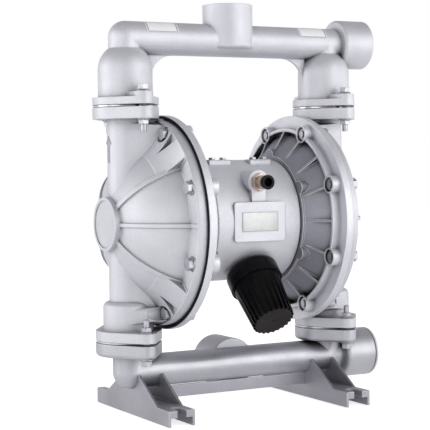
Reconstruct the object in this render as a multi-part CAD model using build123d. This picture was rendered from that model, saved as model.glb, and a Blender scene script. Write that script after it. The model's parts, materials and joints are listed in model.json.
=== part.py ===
from build123d import *
import os
from math import cos, sin, radians, sqrt

# Air operated double diaphragm pump, metal body, 1 1/2 inch ports.
# X runs along the diaphragm shaft, Y points to the rear, Z is up.
# The floor is z = 0, the mid plane between the two chambers is x = 0
# and the manifold legs stand on y = 0. All sizes are millimetres.

# Overall layout, from the floor up and from the mid plane out
INLET_Z = 59.0
INLET_NECK = 43.9
CLAMP_R = 147.5
CLAMP_FLOOR_GAP = 12.1
CLAMP_TOP_GAP = 11.9
OUTLET_RISE = 93.4
PORT_RISE = 49.7
LEG_OUT = 48.5

# Clearances
RUN_GAP = 0.05
SEAT_GAP = 0.3
BOLT_GAP = 0.5
FREE_GAP = 1.0

# Manifold tubes and ports
TUBE_R = 22.65
TUBE_WALL = 4.65
PORT_R = 35.3
PORT_THREAD_R = 22.4
PORT_THREAD_DEPTH = 30.0
PORT_ROUND = 5.0
OUTLET_PORT_DROP = 12.3
INLET_PORT_FRONT = -2.0
INLET_PORT_LENGTH = 53.0
END_PORT_OUT = 18.0
END_PORT_LENGTH = 48.8
END_PORT_CHAMFER = 1.5

# Valve housings: domes over the outlet balls, cups round the inlet balls
DOME_R = 37.3
DOME_H = 49.1
HOUSING_WALL = 6.3
WEB_REACH = 34.0
WEB_T = 5.0
CUP_R = 34.7
CUP_H = 47.1
CUP_SHOULDER = 7.0
LEG_R = 26.0
LEG_WALL = 6.0

# Joint flanges between manifolds and caps
FLANGE_R = 45.3
LOBE_R = 13.2
LOBE_Y = 56.0
JOINT_GAP = 3.6
GASKET_T = 0.5
OUTLET_FLANGE_T = 10.0
LOBE_T = 16.5
INLET_FLANGE_T = 18.0
CAP_TOP_FLANGE_T = 15.5
CAP_BOTTOM_FLANGE_T = 13.0

# Valve seats and balls
BALL_R = 22.0
BALL_LIFT = 14.0
SEAT_BORE_R = 17.0
SEAT_SPIGOT_R = 28.0
SEAT_SPIGOT = 8.0
GUIDE_T = 5.0
GUIDE_HOOK_R = 15.0
GUIDE_HOOK_T = 8.0

# Centre body
BODY_R = 85.0
BODY_HALF = 65.0
BODY_GASKET_T = 1.0
PAD_W = 80.0
PAD_H = 54.0
PAD_Y = 86.0
PAD_Z = 263.0
PAD_ROUND = 4.0
PLATE_W = 57.0
PLATE_H = 27.5
PLATE_T = 0.8
AIR_Z = 317.0
AIR_BOSS_R = 16.3
AIR_BOSS_Y = 83.0
NECK_W = 22.0

# Push-in fitting of the air inlet
FITTING_THREAD_R = 8.0
FITTING_THREAD_L = 10.0
FITTING_HEX = 22.0
FITTING_HEX_L = 8.0
FITTING_BARREL_R = 9.6
FITTING_BARREL_L = 12.0
COLLAR_R = 10.0
COLLAR_T = 4.0
COLLAR_SLEEVE_R = 7.4
COLLAR_SLEEVE_L = 9.0
HOSE_R = 6.03
COLLAR_TRAVEL = 1.5

# Covers of the pilot passages on top of the body
LAND_X = 32.5
LAND_Y = -25.0
LAND_W = 33.0
LAND_D = 15.0
LAND_H = 83.9
COVER_T = 1.6
COVER_SCREW_PITCH = 17.0
COVER_SCREW_R = 2.5
COVER_SCREW_HEX = 9.0
COVER_SCREW_HEAD = 3.0
COVER_SCREW_L = 12.0

# Diaphragm shaft and pilot rod
SHAFT_R = 11.0
STROKE = 18.0
BUSH_R = 15.0
BUSH_L = 14.0
SEAL_R = 14.0
SEAL_L = 4.0
ROD_R = 5.0
ROD_Z = 38.0
ROD_END_GAP = 0.6
ROD_TRAVEL = 3.6
ROD_BUSH_R = 8.0
ROD_BUSH_L = 10.0

# Air chambers
CHAMBER_DEPTH = 41.5
CHAMBER_FLANGE_T = 6.5
CHAMBER_LIP_W = 1.2
CHAMBER_LIP_H = 3.3
CHAMBER_RING_W = 6.0
CHAMBER_FLOOR_T = 8.0
CHAMBER_HOLE_R = 48.0
BOWL_FOOT_L = 3.0
BOWL_RIM_L = 5.0
BOWL_RIM_W = 7.0
BOWL_WALL = 6.0
RIM_INSET = 0.5
RIM_W = 4.5
RIM_H = 11.0
RIB_COUNT = 16
RIB_T = 3.5
NUT_BOSS_R = 12.4
NUT_BOSS_L = 19.0
NUT_POCKET_R = 10.2
NUT_POCKET_DEPTH = 10.0
SCREW_BOSS_R = 9.5
SCREW_BOSS_L = 11.0
SCREW_COUNT = 6
SCREW_INSET = 9.0
SCREW_R = 3.0
SCREW_HEAD_R = 5.0
SCREW_HEAD_T = 4.0
SCREW_L = 26.0

# Diaphragms and their plates
BEAD_T = 4.0
WEB_INNER_R = 62.0
BEAD_W = 35.5
WEB_RISE = 5.0
INNER_PLATE_T = 8.0
OUTER_PLATE_T = 10.0
OUTER_PLATE_RIM = 4.0
PLATE_HUB_R = 24.0
PLATE_SCREW_R = 6.0
PLATE_SCREW_HEX = 19.0
PLATE_SCREW_HEAD = 8.0
PLATE_SCREW_GRIP = 24.0

# Fluid caps
CAP_FLANGE_T = 11.8
CAP_RIM_INSET = 6.0
CAP_RIM_T = 9.0
LIP_H = 1.2
LIP_W = 3.0
LIP_BEVEL = 1.5
DOME_ROOT_W = 4.0
DOME_MID_OUT = 49.5
DOME_MID_DROP = 30.0
HUB_R = 36.6
HUB_ROOT_OUT = 74.5
HUB_H = 8.5
HUB_RIM_W = 4.0
HUB_RECESS = 1.6
CAP_WALL = 7.0
CAP_RIB_T = 5.0
CAP_RIB_H = 3.0
FAN_RIB_T = 7.0
FAN_HALF_ANGLE = 49.5
SHOULDER_TOP_OUT = 38.5
SHOULDER_TOP_R = 98.0
SHOULDER_BEND = 1.6
FAIRING_W = 80.0
CUP_FAIRING_W = 110.0
CUP_ROUND = 6.0
LEG_WEB_W = 36.0

# Clamp bolts and nuts round each chamber
CLAMP_BOLTS = 8
CLAMP_EDGE = 17.5
CLAMP_BOLT_R = 5.0
CLAMP_HEX = 15.0
CLAMP_HEAD_T = 9.5
CLAMP_WASHER_R = 9.6
CLAMP_NUT_T = 7.5
CLAMP_NUT_STICKOUT = 1.5
SPOT_R = 10.3
SPOT_DEPTH = 1.0
SPOT_REACH = 30.0
WASHER_EDGE_T = 1.2
WASHER_T = 3.0

# Small three-cornered pockets beside the clamp bolts next to the legs
POCKET_INNER_R = 109.0
POCKET_NEAR = 6.0
POCKET_TIP = 8.0
POCKET_FAR = 12.5

# Joint bolts and nuts of the manifolds
JOINT_BOLT_R = 4.0
JOINT_HEX = 13.0
JOINT_HEAD_T = 9.4
JOINT_WASHER_R = 9.0
JOINT_NUT_T = 7.8
JOINT_STICKOUT = 10.0

# Exhaust muffler
MUFFLER_ANGLE = 46.5
MUFFLER_DROP = 5.0
MUFFLER_SEAT_H = 1.0
MUFFLER_CAP_R = 37.0
MUFFLER_CAP_L = 28.5
MUFFLER_CAP_ROUND = 10.0
MUFFLER_SPIGOT_R = 13.0
MUFFLER_SPIGOT_L = 14.0
MUFFLER_FOOT_R = 33.5
MUFFLER_END_R = 29.3
MUFFLER_L = 63.5
MUFFLER_FLUTES = 24
FLUTE_W = 4.4
FLUTE_DEPTH = 3.0
MUFFLER_END_ROUND = 1.0

# Air valve on the rear of the body
VALVE_W = 96.0
VALVE_H = 56.0
VALVE_D = 32.0
VALVE_LAND_H = 3.0
VALVE_GASKET_T = 1.0
VALVE_ROUND = 6.0
SPOOL_R = 11.0
SPOOL_L = 72.0
SPOOL_TRAVEL = 8.0
SPOOL_NECK_R = 7.0
SPOOL_NECK_L = 12.0
END_CAP_R = 17.0
END_CAP_T = 6.0
END_CAP_SPIGOT = 3.0
VALVE_SCREW_R = 3.0
VALVE_SCREW_HEAD_R = 5.0
VALVE_SCREW_HEAD_T = 5.0
VALVE_SCREW_INSET = 9.0
VALVE_SCREW_GRIP = 14.0

# Feet
FOOT_IN = 21.2
FOOT_W = 38.5
FOOT_HALF_L = 115.8
FOOT_H = 21.5
FOOT_TOP_T = 9.5
FOOT_WALL = 3.4
FOOT_SLOT_W = 13.5
FOOT_SLOT_L = 26.0
CHEEK_START_Y = 81.0
CHEEK_TOP_Y = 25.0
CHEEK_TOP_Z = 57.0
RAIL_T = 4.0
RAIL_H = 17.0
RAIL_Z = 19.0

# Pipe plugs
PLUG_L = 16.0
PLUG_RECESS = 3.0
PLUG_SQUARE = 19.0
PLUG_SQUARE_DEPTH = 8.0
COVER_PLUG_T = 4.2
COVER_GASKET_T = 0.8
COVER_GASKET_INSET = 0.9

# Heights worked out from the values above
INLET_JOINT_Z = INLET_Z + INLET_NECK
SHAFT_Z = INLET_JOINT_Z + CLAMP_FLOOR_GAP + CLAMP_R
OUTLET_JOINT_Z = SHAFT_Z + CLAMP_R + CLAMP_TOP_GAP
OUTLET_Z = OUTLET_JOINT_Z + OUTLET_RISE
TOTAL_HEIGHT = OUTLET_Z + PORT_RISE
DOME_SPRING_Z = OUTLET_JOINT_Z + DOME_H
CUP_TOP_Z = INLET_JOINT_Z + CUP_H
LAND_Z = SHAFT_Z + LAND_H

# Places along the shaft
AIR_FACE_X = BODY_HALF + BODY_GASKET_T
CHAMBER_FACE_X = AIR_FACE_X + CHAMBER_DEPTH
CHAMBER_BACK_X = CHAMBER_FACE_X - CHAMBER_FLANGE_T
CHAMBER_FLOOR_X = AIR_FACE_X + CHAMBER_FLOOR_T
BOWL_FOOT_X = AIR_FACE_X + BOWL_FOOT_L
BOWL_RIM_X = CHAMBER_BACK_X - BOWL_RIM_L
SCREW_BOSS_X = AIR_FACE_X + SCREW_BOSS_L
NUT_BOSS_X = CHAMBER_FACE_X - NUT_BOSS_L
NUT_SEAT_X = NUT_BOSS_X + NUT_POCKET_DEPTH
CAP_FACE_X = CHAMBER_FACE_X + BEAD_T
CAP_LAND_X = CAP_FACE_X + CAP_FLANGE_T
SPOT_X = CAP_LAND_X - SPOT_DEPTH
DOME_MID_X = CAP_FACE_X + DOME_MID_OUT
HUB_ROOT_X = CAP_FACE_X + HUB_ROOT_OUT
HUB_FACE_X = HUB_ROOT_X + HUB_H
LEG_X = CAP_FACE_X + LEG_OUT
END_PORT_X = LEG_X + END_PORT_OUT
FOOT_X = LEG_X - FOOT_IN
ROD_HALF = CHAMBER_FACE_X - INNER_PLATE_T - STROKE + ROD_TRAVEL - ROD_END_GAP

# Radii round the shaft
BOLT_CIRCLE_R = CLAMP_R - CLAMP_EDGE
BEAD_R = CLAMP_R - CHAMBER_LIP_W - RUN_GAP
CAP_RIM_R = CLAMP_R - CAP_RIM_INSET
LIP_R = CAP_RIM_R - LIP_W
WEB_OUTER_R = CLAMP_R - BEAD_W
BOWL_RIM_R = WEB_OUTER_R + BOWL_RIM_W
RIM_R = BOLT_CIRCLE_R - RIM_INSET
DOME_ROOT_R = WEB_OUTER_R + DOME_ROOT_W
DOME_MID_R = DOME_ROOT_R - DOME_MID_DROP
CHAMBER_RING_R = BODY_R + CHAMBER_RING_W
SCREW_CIRCLE_R = BODY_R - SCREW_INSET
MUFFLER_SEAT = BODY_R + MUFFLER_SEAT_H
VALVE_Y = BODY_R + VALVE_LAND_H

# Faces of the joints and what follows from them
OUTLET_FACE_Z = OUTLET_JOINT_Z + JOINT_GAP / 2
CAP_TOP_Z = OUTLET_JOINT_Z - JOINT_GAP / 2
INLET_FACE_Z = INLET_JOINT_Z - JOINT_GAP / 2
CAP_BOTTOM_Z = INLET_JOINT_Z + JOINT_GAP / 2
SEAT_T = JOINT_GAP - 2 * GASKET_T
TUBE_BORE_R = TUBE_R - TUBE_WALL
LEG_BORE_R = LEG_R - LEG_WALL
BALL_DROP = sqrt(BALL_R**2 - SEAT_BORE_R**2)
SIDES = (("left", -1), ("right", 1))


def cyl_x(radius, x0, x1, y=0.0, z=0.0):
    return Pos((x0 + x1) / 2, y, z) * Rot(0, 90, 0) * Cylinder(radius, abs(x1 - x0))


def cyl_y(radius, y0, y1, x=0.0, z=0.0):
    return Pos(x, (y0 + y1) / 2, z) * Rot(90, 0, 0) * Cylinder(radius, abs(y1 - y0))


def cyl_z(radius, z0, z1, x=0.0, y=0.0):
    return Pos(x, y, (z0 + z1) / 2) * Cylinder(radius, abs(z1 - z0))


def block(x0, x1, y0, y1, z0, z1):
    centre = Pos((x0 + x1) / 2, (y0 + y1) / 2, (z0 + z1) / 2)
    return centre * Box(abs(x1 - x0), abs(y1 - y0), abs(z1 - z0))


def round_shaft(edges):
    """Turn a closed outline of (x, radius) edges round the shaft axis."""
    face = Plane.XZ * make_face(edges)
    return Pos(0, 0, SHAFT_Z) * revolve(face, Axis.X)


def round_leg(edges):
    """Turn a closed outline of (radius, z) edges round the right leg's axis."""
    face = Plane.XZ * make_face(edges)
    return Pos(LEG_X, 0, 0) * revolve(face, Axis.Z)


def loop(*points):
    """A closed outline of straight edges."""
    return Polyline(*points, close=True).edges()


def chain(*parts):
    """A closed outline from points and (mid, end) arcs, back to the first point."""
    edges = []
    start = parts[0]
    for part in parts[1:]:
        if isinstance(part[0], tuple):
            edges.append(ThreePointArc(start, part[0], part[1]))
            start = part[1]
        else:
            edges.append(Line(start, part))
            start = part
    edges.append(Line(start, parts[0]))
    return edges


def clamp_places():
    """Angles of the clamp bolts, half a pitch away from the vertical."""
    pitch = 360.0 / CLAMP_BOLTS
    return [pitch * (i + 0.5) for i in range(CLAMP_BOLTS)]


def at_clock(radius, angle):
    """(y, z) of a point at a radius and angle round the shaft axis."""
    return radius * cos(radians(angle)), SHAFT_Z + radius * sin(radians(angle))


def screw_angles():
    """Angles of the chamber screws, the first one 30 degrees over the front."""
    pitch = 360.0 / SCREW_COUNT
    return [pitch * (i + 0.5) for i in range(SCREW_COUNT)]


def hex_head(across, height):
    """Hexagon with its top corners turned off."""
    corner = across / sqrt(3)
    cut = corner - across / 2
    prism = extrude(RegularPolygon(across / 2, 6, major_radius=False), height)
    outline = loop((0, 0), (corner, 0), (corner, height - cut / 2), (corner - cut, height), (0, height))
    return prism & revolve(Plane.XZ * make_face(outline), Axis.Z)


def washer_face(across, washer_r):
    """Round flange under a head or nut, sloping up to the hexagon."""
    outline = loop((0, 0), (washer_r, 0), (washer_r, WASHER_EDGE_T), (across / 2, WASHER_T), (0, WASHER_T))
    return revolve(Plane.XZ * make_face(outline), Axis.Z)


def hex_bolt(radius, across, head_t, length, washer_r=None):
    """Head towards +Z from its seat at z = 0, shank towards -Z."""
    head = hex_head(across, head_t)
    if washer_r is not None:
        head += washer_face(across, washer_r)
    return head + cyl_z(radius, -length, 0)


def hex_nut(radius, across, height, washer_r=None):
    """A nut on its seat at z = 0, towards +Z."""
    nut = hex_head(across, height)
    if washer_r is not None:
        nut += washer_face(across, washer_r)
    return nut - cyl_z(radius, 0, height)


def on_side(shape, side):
    """Pieces are made for the right side; the left one is the mirror image."""
    return shape if side > 0 else mirror(shape, about=Plane.YZ)


def flange_outline():
    """Round joint flange with two bolt lobes, front and rear."""
    circles = [Circle(FLANGE_R)]
    circles += [Pos(0, s * LOBE_Y) * Circle(LOBE_R) for s in (-1, 1)]
    return make_hull([c.edge() for c in circles])


def joint_flange(z0, z1):
    plate = extrude(flange_outline(), z1 - z0)
    return Pos(LEG_X, 0, z0) * plate


def bolt_bosses(z0, z1):
    """Round-ended bosses for the two bolts, running in to the housing."""
    rear = cyl_z(LOBE_R, z0, z1, LEG_X, LOBE_Y)
    rear += block(LEG_X - LOBE_R, LEG_X + LOBE_R, DOME_R / 2, LOBE_Y, z0, z1)
    return rear + mirror(rear, about=Plane.XZ)


def joint_holes(z0, z1):
    holes = [cyl_z(JOINT_BOLT_R + BOLT_GAP, z0, z1, LEG_X, s * LOBE_Y) for s in (-1, 1)]
    return holes[0] + holes[1]


def both(shape):
    """A right-hand feature and its mirror image on the left leg."""
    return shape + mirror(shape, about=Plane.YZ)


def seat_recess(face_z):
    """Counterbore that takes a valve seat's spigot, below a flange face."""
    deep = SEAT_SPIGOT + SEAT_GAP
    return cyl_z(SEAT_SPIGOT_R + SEAT_GAP, face_z - deep, face_z, LEG_X)


# Outlet manifold

def outlet_dome():
    top = (0, DOME_SPRING_Z + DOME_R)
    side = DOME_R * cos(radians(45))
    arc = ((side, DOME_SPRING_Z + side), top)
    return round_leg(chain((0, OUTLET_FACE_Z), (DOME_R, OUTLET_FACE_Z), (DOME_R, DOME_SPRING_Z), arc))


def outlet_cavity():
    r = DOME_R - HOUSING_WALL
    side = r * cos(radians(45))
    arc = ((side, DOME_SPRING_Z + side), (0, DOME_SPRING_Z + r))
    return round_leg(chain((0, OUTLET_FACE_Z), (r, OUTLET_FACE_Z), (r, DOME_SPRING_Z), arc))


def outlet_web():
    """Curved gusset in the corner between the tube and the dome."""
    x1 = LEG_X - DOME_R
    x0 = x1 - WEB_REACH
    z1 = OUTLET_Z - TUBE_R
    z0 = z1 - WEB_REACH
    bend = WEB_REACH * cos(radians(45))
    arc = ((x0 + bend, z0 + bend), (x1, z0))
    inside = x1 + HOUSING_WALL / 2
    outline = chain((x0, z1 + TUBE_WALL / 2), (x0, z1), arc, (inside, z0), (inside, z1 + TUBE_WALL / 2))
    return extrude(Plane.XZ * make_face(outline), WEB_T / 2, both=True)


def ball_guides():
    """Four ribs that guide an outlet ball, with hooks that stop its lift."""
    outer = DOME_R - HOUSING_WALL / 2
    inner = BALL_R + FREE_GAP
    low = OUTLET_FACE_Z + FREE_GAP
    seat_top = OUTLET_JOINT_Z + JOINT_GAP / 2 - GASKET_T
    lifted = seat_top + BALL_DROP + SEAT_GAP + BALL_LIFT
    hook = lifted + sqrt(BALL_R**2 - GUIDE_HOOK_R**2) + FREE_GAP
    top = hook + GUIDE_HOOK_T
    outline = loop((inner, low), (outer, low), (outer, top), (GUIDE_HOOK_R, top), (GUIDE_HOOK_R, hook), (inner, hook))
    rib = extrude(Plane.XZ * make_face(outline), GUIDE_T / 2, both=True)
    ribs = [Pos(LEG_X, 0, 0) * Rot(0, 0, 45 + 90 * i) * rib for i in range(4)]
    return ribs[0] + ribs[1] + ribs[2] + ribs[3]


def end_port(z):
    """Port boss on the right end of a manifold, with its pipe thread bore."""
    x1 = END_PORT_X + END_PORT_LENGTH
    boss = cyl_x(PORT_R, END_PORT_X, x1, 0, z)
    inner = boss.edges().filter_by(GeomType.CIRCLE).sort_by(Axis.X)[0]
    outer = boss.edges().filter_by(GeomType.CIRCLE).sort_by(Axis.X)[-1]
    boss = fillet(inner, PORT_ROUND)
    outer = boss.edges().filter_by(GeomType.CIRCLE).sort_by(Axis.X)[-1]
    return chamfer(outer, END_PORT_CHAMFER)


def outlet_manifold():
    body = cyl_x(TUBE_R, -LEG_X, END_PORT_X + PORT_ROUND, 0, OUTLET_Z)
    body += Pos(-LEG_X, 0, OUTLET_Z) * Sphere(TUBE_R)
    port = cyl_z(PORT_R, OUTLET_Z - OUTLET_PORT_DROP, TOTAL_HEIGHT)
    port = fillet(port.edges().filter_by(GeomType.CIRCLE).sort_by(Axis.Z)[0], PORT_ROUND)
    side = joint_flange(OUTLET_FACE_Z, OUTLET_FACE_Z + OUTLET_FLANGE_T)
    side += bolt_bosses(OUTLET_FACE_Z, OUTLET_FACE_Z + LOBE_T)
    side += outlet_dome() + outlet_web() + cyl_z(TUBE_R, DOME_SPRING_Z, OUTLET_Z, LEG_X)
    body += port + end_port(OUTLET_Z) + both(side)
    thread_z = TOTAL_HEIGHT - PORT_THREAD_DEPTH
    thread_x = END_PORT_X + END_PORT_LENGTH - PORT_THREAD_DEPTH
    body -= cyl_x(TUBE_BORE_R, -LEG_X, END_PORT_X + END_PORT_LENGTH, 0, OUTLET_Z)
    body -= Pos(-LEG_X, 0, OUTLET_Z) * Sphere(TUBE_BORE_R)
    body -= cyl_z(TUBE_BORE_R, OUTLET_Z, TOTAL_HEIGHT)
    body -= cyl_z(PORT_THREAD_R, thread_z, TOTAL_HEIGHT)
    body -= cyl_x(PORT_THREAD_R, thread_x, END_PORT_X + END_PORT_LENGTH, 0, OUTLET_Z)
    body -= both(outlet_cavity() - ball_guides())
    return body - both(joint_holes(OUTLET_FACE_Z, OUTLET_FACE_Z + LOBE_T))


# Inlet manifold

def inlet_manifold():
    body = cyl_x(TUBE_R, -LEG_X, END_PORT_X + PORT_ROUND, 0, INLET_Z)
    body += Pos(-LEG_X, 0, INLET_Z) * Sphere(TUBE_R)
    port_end = INLET_PORT_FRONT + INLET_PORT_LENGTH
    port = cyl_y(PORT_R, INLET_PORT_FRONT, port_end, 0, INLET_Z)
    port = fillet(port.edges().filter_by(GeomType.CIRCLE).sort_by(Axis.Y)[0], END_PORT_CHAMFER)
    flange = joint_flange(INLET_FACE_Z - INLET_FLANGE_T, INLET_FACE_Z)
    low = flange.faces().sort_by(Axis.Z)[0]
    flange = fillet(low.edges(), PORT_ROUND)
    side = flange + cyl_z(TUBE_R, INLET_Z, INLET_FACE_Z, LEG_X)
    body += port + end_port(INLET_Z) + both(side)
    thread_y = port_end - PORT_THREAD_DEPTH
    thread_x = END_PORT_X + END_PORT_LENGTH - PORT_THREAD_DEPTH
    body -= cyl_x(TUBE_BORE_R, -LEG_X, END_PORT_X + END_PORT_LENGTH, 0, INLET_Z)
    body -= Pos(-LEG_X, 0, INLET_Z) * Sphere(TUBE_BORE_R)
    body -= cyl_y(TUBE_BORE_R, 0, port_end, 0, INLET_Z)
    body -= cyl_y(PORT_THREAD_R, thread_y, port_end, 0, INLET_Z)
    body -= cyl_x(PORT_THREAD_R, thread_x, END_PORT_X + END_PORT_LENGTH, 0, INLET_Z)
    body -= both(cyl_z(TUBE_BORE_R, INLET_Z, INLET_FACE_Z, LEG_X) + seat_recess(INLET_FACE_Z))
    return body - both(joint_holes(INLET_FACE_Z - INLET_FLANGE_T, INLET_FACE_Z))


# Fluid caps

def dome_arc(offset):
    """Crown of the dome from the flange to the hub, moved out by an offset."""
    start = (CAP_LAND_X + offset * 0.6, DOME_ROOT_R + offset * 0.8)
    mid = (DOME_MID_X + offset * 0.7, DOME_MID_R + offset * 0.7)
    end = (HUB_ROOT_X + offset * 0.9, HUB_R)
    return start, mid, end


def cap_shell():
    start, mid, end = dome_arc(0)
    lip_x = CAP_LAND_X + LIP_H
    recess_r = HUB_R - HUB_RIM_W
    recess_x = HUB_FACE_X - HUB_RECESS
    outline = chain(
        (CAP_FACE_X, 0),
        (CAP_FACE_X, CAP_RIM_R),
        (CAP_FACE_X + CAP_RIM_T, CAP_RIM_R),
        (lip_x, CAP_RIM_R - LIP_BEVEL),
        (lip_x, LIP_R),
        (CAP_LAND_X, LIP_R),
        start,
        (mid, end),
        (HUB_FACE_X, HUB_R),
        (HUB_FACE_X, recess_r),
        (recess_x, recess_r),
        (recess_x, 0),
    )
    return round_shaft(outline)


def cap_cavity():
    mouth = (CAP_FACE_X, WEB_OUTER_R)
    throat = (CAP_LAND_X - CAP_WALL / 2, DOME_ROOT_R - CAP_WALL)
    mid = (DOME_MID_X - CAP_WALL * 0.7, DOME_MID_R - CAP_WALL * 0.7)
    end = (HUB_ROOT_X - CAP_WALL, HUB_R / 2)
    return round_shaft(chain((CAP_FACE_X, 0), mouth, throat, (mid, end), (end[0], 0)))


def cap_ribs():
    """Radial ribs over the dome that run out into the lip of the flange."""
    start, mid, end = dome_arc(CAP_RIB_H)
    lip_x = CAP_LAND_X + LIP_H
    lip_r = LIP_R + LIP_BEVEL / 2
    outline = chain((CAP_FACE_X, lip_r), (lip_x, lip_r), (lip_x, start[1]), start, (mid, end), (end[0], 0), (CAP_FACE_X, 0))
    face = Plane.XZ * make_face(outline)
    level = extrude(face, CAP_RIB_T / 2, both=True)
    fan = extrude(face, FAN_RIB_T / 2, both=True)
    body = Rot(90, 0, 0) * level + Rot(-90, 0, 0) * level
    for turn in (0, 180):
        body += Rot(turn + FAN_HALF_ANGLE, 0, 0) * fan
        body += Rot(turn - FAN_HALF_ANGLE, 0, 0) * fan
    return Pos(0, 0, SHAFT_Z) * body


def cap_shoulders():
    """Fuller flanks between the slanting ribs, above and below the dome."""
    top = (CAP_FACE_X + SHOULDER_TOP_OUT, SHOULDER_TOP_R)
    edge = (CAP_LAND_X + LIP_H, LIP_R + LIP_BEVEL / 2)
    middle = ((edge[0] + top[0]) / 2 - SHOULDER_BEND, (edge[1] + top[1]) / 2 - SHOULDER_BEND)
    outline = chain((CAP_FACE_X, HUB_R), (CAP_FACE_X, edge[1]), edge, (middle, top), (top[0], HUB_R))
    face = Plane.XZ * make_face(outline)
    sector = revolve(face, Axis.X, revolution_arc=2 * FAN_HALF_ANGLE)
    upper = Rot(-FAN_HALF_ANGLE, 0, 0) * sector
    return Pos(0, 0, SHAFT_Z) * (upper + Rot(180, 0, 0) * upper)


def leg_fairing(radius, width, z0, z1):
    """Flanks that run from a leg to the flange, seen from above a hull."""
    half = width / 2
    plate = Pos((CAP_FACE_X + CAP_LAND_X) / 2, 0) * Rectangle(CAP_FLANGE_T, 2 * half)
    circle = Pos(LEG_X, 0) * Circle(radius)
    hull = make_hull(list(plate.edges()) + list(circle.edges()))
    return Pos(0, 0, z0) * extrude(hull, z1 - z0)


def side_pockets():
    """Three-cornered pockets in the flanks, one beside each bolt by a leg."""
    bolt = 90.0 - 180.0 / CLAMP_BOLTS
    corners = ((POCKET_INNER_R, bolt - POCKET_TIP), (LIP_R, bolt - POCKET_NEAR), (LIP_R, bolt - POCKET_FAR))
    points = [(r * cos(radians(a)), r * sin(radians(a))) for r, a in corners]
    wedge = extrude(Plane.YZ * make_face(loop(*points)), SPOT_REACH)
    wedge = Pos(CAP_LAND_X, 0, 0) * wedge
    wedge += mirror(wedge, about=Plane.XZ)
    wedge += mirror(wedge, about=Plane.XY)
    return Pos(0, 0, SHAFT_Z) * wedge


def cap_legs():
    upper = cyl_z(LEG_R, SHAFT_Z, CAP_TOP_Z, LEG_X)
    upper += joint_flange(CAP_TOP_Z - CAP_TOP_FLANGE_T, CAP_TOP_Z)
    shoulder = (LEG_R, CUP_TOP_Z + CUP_SHOULDER)
    bend = (LEG_R + (CUP_R - LEG_R) * 0.7, CUP_TOP_Z + CUP_SHOULDER * 0.7)
    cup = round_leg(chain((0, CAP_BOTTOM_Z), (CUP_R, CAP_BOTTOM_Z), (CUP_R, CUP_TOP_Z), (bend, shoulder), (LEG_R, SHAFT_Z), (0, SHAFT_Z)))
    lower = cup + joint_flange(CAP_BOTTOM_Z, CAP_BOTTOM_Z + CAP_BOTTOM_FLANGE_T)
    half = LEG_WEB_W / 2
    web = block(CAP_FACE_X, LEG_X, -half, half, SHAFT_Z - LIP_R, CAP_TOP_Z - CAP_TOP_FLANGE_T)
    flanks = leg_fairing(LEG_R, FAIRING_W, SHAFT_Z - LIP_R, SHAFT_Z + LIP_R)
    foot = leg_fairing(CUP_R, CUP_FAIRING_W, CAP_BOTTOM_Z, CUP_TOP_Z)
    foot = fillet(foot.faces().sort_by(Axis.Z)[-1].edges(), CUP_ROUND)
    inside = cyl_x(LIP_R, CAP_FACE_X, LEG_X + CUP_R, 0, SHAFT_Z)
    return upper + lower + web + ((flanks + foot) & inside)


def cap_bores():
    """Passages of the two legs, the inlet ball's cup and the seat recess."""
    seat_top = INLET_JOINT_Z + JOINT_GAP / 2 - GASKET_T
    lifted = seat_top + BALL_DROP + SEAT_GAP + BALL_LIFT
    cup_r = CUP_R - HOUSING_WALL
    stop = lifted + sqrt(BALL_R**2 - LEG_BORE_R**2) + 3 * FREE_GAP
    start = stop - (cup_r - LEG_BORE_R)
    bores = round_leg(chain((0, CAP_BOTTOM_Z), (cup_r, CAP_BOTTOM_Z), (cup_r, start), (LEG_BORE_R, stop), (LEG_BORE_R, SHAFT_Z), (0, SHAFT_Z)))
    bores += cyl_z(LEG_BORE_R, SHAFT_Z, CAP_TOP_Z, LEG_X)
    return bores + seat_recess(CAP_TOP_Z)


def fluid_cap():
    body = cap_shell() + cap_ribs() + cap_shoulders() + cap_legs()
    body -= cap_cavity() + cap_bores() + side_pockets()
    for angle in clamp_places():
        y, z = at_clock(BOLT_CIRCLE_R, angle)
        body -= cyl_x(CLAMP_BOLT_R + BOLT_GAP, CAP_FACE_X, CAP_LAND_X, y, z)
        body -= cyl_x(SPOT_R, SPOT_X, SPOT_X + SPOT_REACH, y, z)
    body -= joint_holes(CAP_TOP_Z - CAP_TOP_FLANGE_T, CAP_TOP_Z)
    return body - joint_holes(CAP_BOTTOM_Z, CAP_BOTTOM_Z + CAP_BOTTOM_FLANGE_T)


# Air chambers

def chamber_shell():
    """Flared bowl with its floor, clamp flange and raised rim."""
    outline = loop(
        (AIR_FACE_X, CHAMBER_HOLE_R),
        (AIR_FACE_X, CHAMBER_RING_R),
        (BOWL_FOOT_X, CHAMBER_RING_R),
        (BOWL_RIM_X, BOWL_RIM_R),
        (CHAMBER_BACK_X, BOWL_RIM_R),
        (CHAMBER_BACK_X, RIM_R - RIM_W),
        (CHAMBER_BACK_X - RIM_H, RIM_R - RIM_W),
        (CHAMBER_BACK_X - RIM_H, RIM_R),
        (CHAMBER_BACK_X, RIM_R),
        (CHAMBER_BACK_X, CLAMP_R),
        (CHAMBER_FACE_X + CHAMBER_LIP_H, CLAMP_R),
        (CHAMBER_FACE_X + CHAMBER_LIP_H, CLAMP_R - CHAMBER_LIP_W),
        (CHAMBER_FACE_X, CLAMP_R - CHAMBER_LIP_W),
        (CHAMBER_FACE_X, WEB_OUTER_R),
        (CHAMBER_BACK_X, WEB_OUTER_R),
        (CHAMBER_FLOOR_X, CHAMBER_RING_R - BOWL_WALL),
        (CHAMBER_FLOOR_X, CHAMBER_HOLE_R),
    )
    return round_shaft(outline)


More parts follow.
